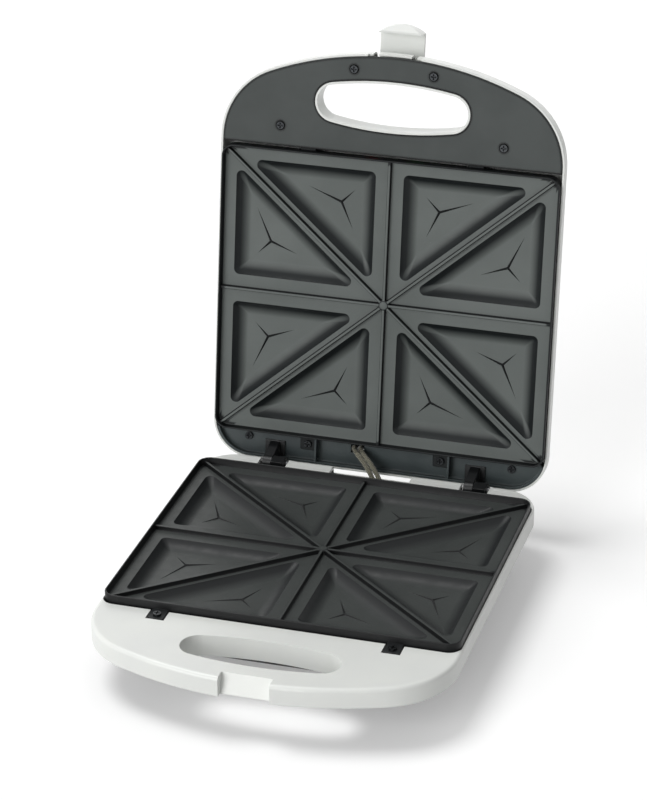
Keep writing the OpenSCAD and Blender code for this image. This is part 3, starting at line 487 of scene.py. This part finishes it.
rear_tabs = [(x, REAR_TAB_Y, -PLATE_BACK - TAB_ROOT, REAR_TAB_Z) for x in REAR_TAB_X]
lower_tabs = front_tabs(LOWER_TAB_X, LOWER_TAB_Z)
upper_tabs = front_tabs(UPPER_TAB_X, UPPER_TAB_Z) + rear_tabs
lower_plate = add_object("lower_plate_face", *plate(lower_tabs), LOWER)
upper_plate = add_object("upper_plate_face", *plate(upper_tabs), UPPER)
for piece, body, node, faces_towards in (
    (lower_plate, "base", "lower_plate", Vector((0, 0, 1))),
    (upper_plate, "lid", "upper_plate", UPPER.to_3x3() @ Vector((0, 0, -1))),
):
    mark_slopes(piece, faces_towards)
    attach(piece, body)
    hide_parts(node)


# ---- Heater leads: braided sleeves from the lid down into the base (mm from the hinge axis) ----
LEAD_AT, LEAD_GAP, LEAD_R = -19.0, 5.0, 1.85
LEAD_SPINE = (
    (0.0, 23.0, 11.0),
    (0.5, 17.0, 11.5),
    (5.0, 11.0, 10.0),
    (12.0, 5.0, 6.0),
    (20.0, -3.0, -0.5),
    (24.0, -11.0, -5.5),
    (25.0, -17.0, -9.0),
)
LEAD_STEPS, LEAD_SIDES, LEAD_SMOOTH = 34, 28, 60
BRAID_PITCH, BRAID_STARTS, BRAID_RELIEF = 7.0, 6, 0.16
# A direction that no lead runs along, to lay out a lead's sections
ACROSS_LEAD = Vector((0, 0.2, 1))


def smooth_path(points, steps):
    """Catmull-Rom samples along a list of points."""
    pts = [Vector(p) for p in points]
    pts = [pts[0] * 2 - pts[1]] + pts + [pts[-1] * 2 - pts[-2]]
    out = []
    for i in range(1, len(pts) - 2):
        a, b, c, d = pts[i - 1 : i + 3]
        slope = c - a
        bend = 2 * a - 5 * b + 4 * c - d
        twist = 3 * b - 3 * c + d - a
        for k in range(steps):
            t = k / steps
            out.append(0.5 * (2 * b + slope * t + bend * t * t + twist * t * t * t))
    out.append(pts[-2])
    return out


def braided_tube(name, spine):
    """Tube whose skin rises and falls as crossing strands do."""
    path = smooth_path(spine, LEAD_STEPS)
    loops = []
    run = 0.0
    for i, centre in enumerate(path):
        ahead = path[min(i + 1, len(path) - 1)] - path[max(i - 1, 0)]
        run += (path[i] - path[i - 1]).length if i else 0.0
        tangent = ahead.normalized()
        u = tangent.cross(ACROSS_LEAD).normalized()
        v = tangent.cross(u)
        turn = 2 * math.pi * run / BRAID_PITCH
        loop = []
        for k in range(LEAD_SIDES):
            angle = 2 * math.pi * k / LEAD_SIDES
            there, back = angle + turn / 2, angle - turn / 2
            weave = math.cos(BRAID_STARTS * there) * math.cos(BRAID_STARTS * back)
            radius = LEAD_R - BRAID_RELIEF * (0.5 - 0.5 * weave)
            loop.append(centre + (u * math.cos(angle) + v * math.sin(angle)) * radius)
        loops.append(loop)
    verts, faces = loft(loops, closed=False)
    faces.append(tuple(reversed(range(LEAD_SIDES))))
    faces.append(tuple(range(len(verts) - LEAD_SIDES, len(verts))))
    return add_object(name, verts, faces, Matrix.Translation(hinge), LEAD_SMOOTH)


leads = []
for side, gap in (("left", 0.0), ("right", LEAD_GAP)):
    lead = braided_tube(
        "braided_lead_" + side, [(LEAD_AT + gap + x, y, z) for x, y, z in LEAD_SPINE]
    )
    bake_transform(lead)
    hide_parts("heater_lead_" + side)
    leads.append(lead)


# ---- Materials: noise and wave scales are per metre ----
BEVEL_SAMPLES, EASE_SAMPLES = 8, 6
# An edge counts as sharp where its rounded normal leans this far off the true one (cosines)
EDGE_SHARP, EDGE_FLAT = 0.95, 0.995
# Noise gathers round 0.5: over these spans of it, tone and gloss go from one end to the other
TONE_SPAN, GLOSS_SPAN = (0.35, 0.65), (0.3, 0.7)


class Nodes:
    """Small helper that wires the node tree of a new material."""

    def __init__(self, name):
        self.mat = bpy.data.materials.new(name)
        self.mat.use_nodes = True
        self.tree = self.mat.node_tree
        self.shader = self.tree.nodes["Principled BSDF"]
        self.coords = self.add("ShaderNodeTexCoord").outputs["Object"]

    def add(self, kind, **values):
        """Add a node and set its properties and sockets by name."""
        node = self.tree.nodes.new(kind)
        for key, value in values.items():
            if hasattr(node, key):
                setattr(node, key, value)
            else:
                node.inputs[key.replace("_", " ")].default_value = value
        return node

    def link(self, out, into):
        """Link an output to an input socket, or to a socket of the shader by its name."""
        self.tree.links.new(out, self.shader.inputs[into] if isinstance(into, str) else into)

    def noise(self, scale, detail, roughness=0.5, stretch=None):
        """Noise, stretched along one way where stretch gives a scale for each axis."""
        node = self.add("ShaderNodeTexNoise", Scale=scale, Detail=detail, Roughness=roughness)
        source = self.coords
        if stretch:
            mapping = self.add("ShaderNodeMapping", Scale=stretch)
            self.link(source, mapping.inputs["Vector"])
            source = mapping.outputs["Vector"]
        self.link(source, node.inputs["Vector"])
        return node.outputs["Fac"]

    def waves(self, scale, distortion, **how):
        """Wavy bands."""
        node = self.add("ShaderNodeTexWave", Scale=scale, Distortion=distortion, **how)
        self.link(self.coords, node.inputs["Vector"])
        return node.outputs["Fac"]

    def ramp(self, source, span, low, high):
        """Value from low to high while the source runs over the span."""
        node = self.add(
            "ShaderNodeMapRange",
            clamp=True,
            From_Min=span[0],
            From_Max=span[1],
            To_Min=low,
            To_Max=high,
        )
        self.link(source, node.inputs["Value"])
        return node.outputs["Result"]

    def layer(self, factor, below, above):
        """Lay a colour over a colour or a colour output, by a factor."""
        node = self.add("ShaderNodeMix", data_type="RGBA")
        self.link(factor, node.inputs["Factor"])
        if isinstance(below, tuple):
            node.inputs["A"].default_value = (*below, 1)
        else:
            self.link(below, node.inputs["A"])
        node.inputs["B"].default_value = (*above, 1)
        return node.outputs["Result"]

    def clouds(self, colour, shade, scale, detail):
        """Two colours in soft clouds."""
        return self.layer(self.ramp(self.noise(scale, detail), TONE_SPAN, 0, 1), colour, shade)

    def gloss(self, source, low, high):
        """Roughness that wanders from low to high with the source."""
        self.link(self.ramp(source, GLOSS_SPAN, low, high), "Roughness")

    def bevel(self, radius, samples):
        """Normal as if every edge were rounded by a radius in millimetres."""
        return self.add("ShaderNodeBevel", samples=samples, Radius=radius * MM).outputs["Normal"]

    def bump(self, height, strength, depth, ease=0.0):
        """Bump of a depth in metres over edges that look eased by a radius in millimetres."""
        node = self.add("ShaderNodeBump", Strength=strength, Distance=depth)
        self.link(height, node.inputs["Height"])
        if ease > 0:
            self.link(self.bevel(ease, EASE_SAMPLES), node.inputs["Normal"])
        self.link(node.outputs["Normal"], "Normal")

    def edges(self, reach):
        """1 along sharp edges, within reach millimetres of them, and 0 elsewhere."""
        dot = self.add("ShaderNodeVectorMath", operation="DOT_PRODUCT")
        self.link(self.bevel(reach, BEVEL_SAMPLES), dot.inputs[0])
        self.link(self.add("ShaderNodeNewGeometry").outputs["True Normal"], dot.inputs[1])
        return self.ramp(dot.outputs["Value"], (EDGE_SHARP, EDGE_FLAT), 1, 0)

    def set(self, **values):
        """Set sockets of the shader."""
        for key, value in values.items():
            self.shader.inputs[key.replace("_", " ")].default_value = value


def srgb(*rgb):
    """8-bit display colour to linear."""
    shares = [c / 255 for c in rgb]
    return tuple(c / 12.92 if c <= 0.04045 else ((c + 0.055) / 1.055) ** 2.4 for c in shares)


# Reach of the painted shadow line along a moulding's edges, and of the painted shade along a screw's edges and
# recess (mm)
SHADOW_LINE_REACH, SCREW_SHADE_REACH = 3.0, 0.55
MOULD_EASE, METAL_EASE, COATING_EASE = 0.5, 0.12, 0.2


def moulded(name, colour, shade, rough, grain, depth, coat=0.0, specular=0.5, line=None):
    """Moulded plastic: faint cloudy tone, fine spark-eroded grain, uneven gloss.

    line is the colour of a painted shadow line along its sharp edges, for the shade in the gap where it meets its
    neighbour."""
    n = Nodes(name)
    base = n.clouds(colour, shade, scale=28, detail=4)
    if line is not None:
        # Painted shadow: darken the colour near sharp edges
        base = n.layer(n.edges(SHADOW_LINE_REACH), base, line)
    n.link(base, "Base Color")
    n.gloss(n.noise(scale=90, detail=5), rough - 0.04, rough + 0.05)
    n.bump(n.noise(grain, detail=2), strength=0.35, depth=depth, ease=MOULD_EASE)
    n.set(Coat_Weight=coat, Coat_Roughness=0.2, Specular_IOR_Level=specular)
    return n.mat


def brushed(name, colour, shade, rough, line=None):
    """Worked metal: streaks along one way, a soft stain and, with line, painted shade along its edges and recess.
    """
    n = Nodes(name)
    streak = n.noise(scale=3, detail=4, stretch=(400, 30, 400))
    base = n.clouds(colour, shade, scale=60, detail=4)
    if line is not None:
        # Painted shade: darken the edges and the recess
        base = n.layer(n.edges(SCREW_SHADE_REACH), base, line)
    n.link(base, "Base Color")
    n.gloss(streak, rough - 0.07, rough + 0.08)
    n.bump(streak, strength=0.2, depth=0.05 * MM, ease=METAL_EASE)
    n.set(Metallic=1.0)
    return n.mat


# Slope of the plate as a share of upright, over which painted shade darkens the coating: from lying flat to wall,
# and from wall to edge
WALL_SHADE_SPAN, EDGE_SHADE_SPAN = (0.05, 0.38), (0.5, 0.75)
# Pale flecks in the coating: span of noise where they show, how much, colour
FLECK_SPAN, FLECK_SHARE, FLECK = (0.64, 0.72), 0.35, srgb(128, 132, 130)


def non_stick(name, dark, pale, wall, edge):
    """Sprayed coating on cast aluminium: pale where it lies flat, with painted shade that makes it darker down the
    slopes and darkest on the steepest edges.
    """
    n = Nodes(name)
    film = n.clouds(dark, pale, scale=18, detail=5)
    fleck = n.ramp(n.noise(scale=2600, detail=2, roughness=0.6), FLECK_SPAN, 0, FLECK_SHARE)
    flat = n.layer(fleck, film, FLECK)
    slope = n.add("ShaderNodeAttribute", attribute_name="slope").outputs["Fac"]
    # Painted shade: the wall and edge colours darken the coating by slope, standing in for shade and dark
    # reflections
    slope_shaded = n.layer(n.ramp(slope, WALL_SHADE_SPAN, 0, 1), flat, wall)
    n.link(n.layer(n.ramp(slope, EDGE_SHADE_SPAN, 0, 1), slope_shaded, edge), "Base Color")
    n.gloss(n.noise(scale=160, detail=4), 0.4, 0.5)
    n.bump(n.noise(scale=1800, detail=2), strength=0.4, depth=0.05 * MM, ease=COATING_EASE)
    n.set(Specular_IOR_Level=0.22)
    return n.mat


def lens(name, colour):
    """Clear tinted moulding with a rippled back."""
    n = Nodes(name)
    deeper = tuple(c * 0.75 for c in colour)
    blotch = n.ramp(n.noise(scale=300, detail=2), GLOSS_SPAN, 0, 1)
    n.link(n.layer(blotch, colour, deeper), "Base Color")
    n.bump(n.waves(scale=260, distortion=0.4), strength=0.3, depth=0.2 * MM)
    n.set(Transmission_Weight=0.55, Roughness=0.12, IOR=1.49)
    return n.mat


def braid(name, gap, strand):
    """Woven glass-fibre sleeve: two crossing waves of strands."""
    n = Nodes(name)
    product = n.add("ShaderNodeMath", operation="MULTIPLY")
    slanting = n.waves(scale=420, distortion=0.6, bands_direction="DIAGONAL")
    level = n.waves(scale=520, distortion=0.8, bands_direction="Z")
    n.link(slanting, product.inputs[0])
    n.link(level, product.inputs[1])
    weave = product.outputs["Value"]
    n.link(n.layer(n.ramp(weave, (0.05, 0.55), 0, 1), gap, strand), "Base Color")
    n.link(n.ramp(weave, (0, 1), 0.9, 0.65), "Roughness")
    n.bump(weave, strength=0.8, depth=0.4 * MM)
    n.set(Sheen_Weight=0.3)
    return n.mat


# Colours of each material: main tone and a second tone for its clouds; the coatings add painted shade for their
# walls and edges
WHITE = srgb(225, 227, 223), srgb(221, 223, 220)
BLACK = srgb(25, 26, 27), srgb(21, 22, 23)
# The second grey value is the colour of a painted shadow line along the cover's sharp edges
GREY, GREY_SHADOW_LINE = (srgb(66, 70, 69), srgb(73, 77, 76)), srgb(9, 10, 11)
SLATE = srgb(43, 51, 53), srgb(51, 60, 61)
RUBBER = srgb(30, 30, 30), srgb(40, 40, 39)
CREAM = srgb(222, 214, 192), srgb(212, 203, 180)
# Coatings: dark and pale tone, then the painted shade colours for walls and for the steepest edges
UPPER_COATING_AND_SHADE = srgb(94, 99, 97), srgb(102, 107, 105), srgb(20, 24, 25), srgb(10, 12, 13)
# The lower coating is the same coating painted darker: painted shade and painted reflection of the dark lid above
# it
LOWER_COATING_SHADED = srgb(55, 58, 57), srgb(62, 65, 64), srgb(26, 28, 29), srgb(14, 15, 16)
ZINC = srgb(170, 170, 168), srgb(150, 151, 150)
# The second blackened value is the colour of painted shade round the screw heads and in their recess
BLACKENED, BLACKENED_SHADOW_LINE = (srgb(56, 58, 60), srgb(68, 70, 72)), srgb(9, 9, 10)
PLAIN_STEEL = srgb(112, 113, 115), srgb(98, 99, 101)
TINTED_STEEL = srgb(120, 112, 98), srgb(150, 146, 138)
BRIGHT = srgb(205, 207, 208), srgb(190, 192, 194)
STRANDS = srgb(44, 43, 34), srgb(158, 154, 132)

# How each material slot is made: function, colours, values
RECIPES = {
    "white_plastic": (moulded, WHITE, dict(rough=0.36, grain=1500, depth=0.03 * MM, coat=0.1)),
    "black_plastic": (
        moulded,
        BLACK,
        dict(rough=0.38, grain=1400, depth=0.06 * MM, specular=0.35),
    ),
    "grey_plastic": (
        moulded,
        GREY,
        dict(rough=0.46, grain=1400, depth=0.08 * MM, specular=0.2, line=GREY_SHADOW_LINE),
    ),
    "slate_plastic": (moulded, SLATE, dict(rough=0.38, grain=1200, depth=0.05 * MM)),
    "foot_rubber": (moulded, RUBBER, dict(rough=0.8, grain=900, depth=0.1 * MM)),
    "terminal_plastic": (moulded, CREAM, dict(rough=0.45, grain=900, depth=0.1 * MM)),
    "non_stick_plate": (non_stick, UPPER_COATING_AND_SHADE, {}),
    # Darker copy of the coating for the lower plate, as painted shade and painted reflection
    "non_stick_lower": (non_stick, LOWER_COATING_SHADED, {}),
    "screw_steel": (brushed, ZINC, dict(rough=0.35)),
    "black_screw": (brushed, BLACKENED, dict(rough=0.3, line=BLACKENED_SHADOW_LINE)),
    "pin_steel": (brushed, PLAIN_STEEL, dict(rough=0.34)),
    "heater_sheath": (brushed, TINTED_STEEL, dict(rough=0.4)),
    "bright_sheet": (brushed, BRIGHT, dict(rough=0.3)),
    "red_lens": (lens, [srgb(205, 40, 30)], {}),
    "green_lens": (lens, [srgb(50, 170, 70)], {}),
    "lamp_glass": (lens, [srgb(235, 220, 190)], {}),
    "lead_sleeve": (braid, STRANDS, {}),
}
materials = {
    name: make(name, *colours, **values) for name, (make, colours, values) in RECIPES.items()
}


def paint(obj, name):
    """Give a piece one material."""
    obj.data.materials.clear()
    obj.data.materials.append(materials[name])


CAD_SMOOTH = 32
slots = {s["node"]: s["material_slot"] for s in frame["record"]["subparts"]}
for name, obj in nodes.items():
    paint(obj, slots[name])
    smooth(obj.data, CAD_SMOOTH)
# The lower plate takes the darker copy of the coating: painted shade and reflection, not a different coating
paint(lower_plate, "non_stick_lower")
paint(upper_plate, "non_stick_plate")
for lead in leads:
    paint(lead, "lead_sleeve")

# ---- Stage: pale floor under a pale sky, which both show white where they are seen ----
FLOOR_HALF = 6.0
LIT_FLOOR, SEEN_FLOOR, SEEN_GLOW = 0.75, 0.8, 0.28
# The studio is brighter overhead, behind and on the left: strength rises along FILL_TOWARDS
FILL_MIDDLE, FILL_TOWARDS = 0.24, (-0.06, 0.1, 0.1)
# Three soft lamps: direction towards the lamp, strength, apparent width in degrees
LAMPS = {
    "overhead": ((-0.42, 0.1, 1.0), 1.5, 28.0),
    "front": ((-0.42, -0.85, 0.32), 1.8, 40.0),
    "behind": ((-0.1, 1.0, 0.25), 0.55, 60.0),
}


def seen_directly(tree):
    """1 for a ray that shows the background itself: from the camera, a gloss or glass."""
    paths = tree.nodes.new("ShaderNodeLightPath")
    total = paths.outputs["Is Camera Ray"]
    for name in ("Is Glossy Ray", "Is Transmission Ray"):
        larger = tree.nodes.new("ShaderNodeMath")
        larger.operation = "MAXIMUM"
        tree.links.new(total, larger.inputs[0])
        tree.links.new(paths.outputs[name], larger.inputs[1])
        total = larger.outputs["Value"]
    return total


def show_when_seen(tree, lighting, shown, output):
    """Send one shader to the output for light on the object, another where it is seen."""
    choose = tree.nodes.new("ShaderNodeMixShader")
    tree.links.new(seen_directly(tree), choose.inputs["Fac"])
    tree.links.new(lighting, choose.inputs[1])
    tree.links.new(shown, choose.inputs[2])
    tree.links.new(choose.outputs["Shader"], tree.nodes[output].inputs["Surface"])


def matte(tree, tone):
    """Matte shader of one grey."""
    node = tree.nodes.new("ShaderNodeBsdfDiffuse")
    node.inputs["Color"].default_value = (tone, tone, tone, 1)
    return node.outputs["BSDF"]


def floor_paint():
    """Matte floor that looks white where it is lit and keeps the object's shadow."""
    paint_mat = bpy.data.materials.new("floor_paint")
    paint_mat.use_nodes = True
    tree = paint_mat.node_tree
    tree.nodes.remove(tree.nodes["Principled BSDF"])
    glow = tree.nodes.new("ShaderNodeEmission")
    glow.inputs["Strength"].default_value = SEEN_GLOW
    both = tree.nodes.new("ShaderNodeAddShader")
    tree.links.new(matte(tree, SEEN_FLOOR), both.inputs[0])
    tree.links.new(glow.outputs["Emission"], both.inputs[1])
    show_when_seen(tree, matte(tree, LIT_FLOOR), both.outputs["Shader"], "Material Output")
    return paint_mat


def make_floor():
    """Square floor round the origin."""
    around = ((-1, -1), (1, -1), (1, 1), (-1, 1))
    mesh = bpy.data.meshes.new("floor")
    mesh.from_pydata([(x * FLOOR_HALF, y * FLOOR_HALF, 0) for x, y in around], [], [(0, 1, 2, 3)])
    mesh.materials.append(floor_paint())
    plane = bpy.data.objects.new("floor", mesh)
    bpy.context.scene.collection.objects.link(plane)
    return plane


def light_sky():
    """White sky whose light on the object is weak and changes softly with direction."""
    world = bpy.data.worlds.new("studio")
    bpy.context.scene.world = world
    world.use_nodes = True
    tree = world.node_tree
    fill = tree.nodes["Background"]
    fill.inputs["Color"].default_value = (1, 1, 1, 1)
    direction = tree.nodes.new("ShaderNodeTexCoord")
    along = tree.nodes.new("ShaderNodeVectorMath")
    along.operation = "DOT_PRODUCT"
    along.inputs[1].default_value = FILL_TOWARDS
    tree.links.new(direction.outputs["Generated"], along.inputs[0])
    strength = tree.nodes.new("ShaderNodeMath")
    strength.operation = "ADD"
    strength.inputs[1].default_value = FILL_MIDDLE
    tree.links.new(along.outputs["Value"], strength.inputs[0])
    tree.links.new(strength.outputs["Value"], fill.inputs["Strength"])
    white = tree.nodes.new("ShaderNodeBackground")
    white.inputs["Strength"].default_value = 1.0
    white.inputs["Color"].default_value = (1, 1, 1, 1)
    show_when_seen(
        tree, fill.outputs["Background"], white.outputs["Background"], "World Output"
    )


def hang_lamp(name, towards, strength, width):
    """Far lamp with a soft shadow."""
    lamp = bpy.data.lights.new(name, "SUN")
    lamp.energy = strength
    lamp.angle = math.radians(width)
    lamp_object = bpy.data.objects.new(name, lamp)
    lamp_object.rotation_euler = Vector(towards).to_track_quat("Z", "Y").to_euler()
    bpy.context.scene.collection.objects.link(lamp_object)


floor = make_floor()
light_sky()
for name, (towards, strength, width) in LAMPS.items():
    hang_lamp(name, towards, strength, width)

# ---- Camera: fitted to the photograph, measured about the hinge axis (mm) ----
AZIMUTH, ELEVATION, ROLL = math.radians(16.48), math.radians(25.81), math.radians(-0.13)
FOCAL_PX, FRAME_H, SENSOR = 3169.0, 800.0, 36.0
DISTANCE = 2291.7 * MM
AIM = Vector(hinge) + Vector((-34.0, -10.05, 61.77)) * MM
FARTHEST = 50.0


def place_camera():
    """Camera at DISTANCE from AIM, turned by its azimuth, elevation and roll."""
    data = bpy.data.cameras.new("camera")
    data.sensor_width = SENSOR
    data.lens = FOCAL_PX * SENSOR / FRAME_H
    data.clip_end = FARTHEST
    camera = bpy.data.objects.new("camera", data)
    bpy.context.scene.collection.objects.link(camera)
    level = math.cos(ELEVATION)
    back = Vector((math.sin(AZIMUTH) * level, -math.cos(AZIMUTH) * level, math.sin(ELEVATION)))
    right = Vector((math.cos(AZIMUTH), math.sin(AZIMUTH), 0))
    up = back.cross(right)
    turned_right = right * math.cos(ROLL) + up * math.sin(ROLL)
    turned_up = up * math.cos(ROLL) - right * math.sin(ROLL)
    turn = Matrix((turned_right, turned_up, back)).transposed().to_4x4()
    camera.matrix_world = Matrix.Translation(AIM + back * DISTANCE) @ turn
    bpy.context.scene.camera = camera


place_camera()
bpy.context.scene.view_settings.view_transform = "Standard"
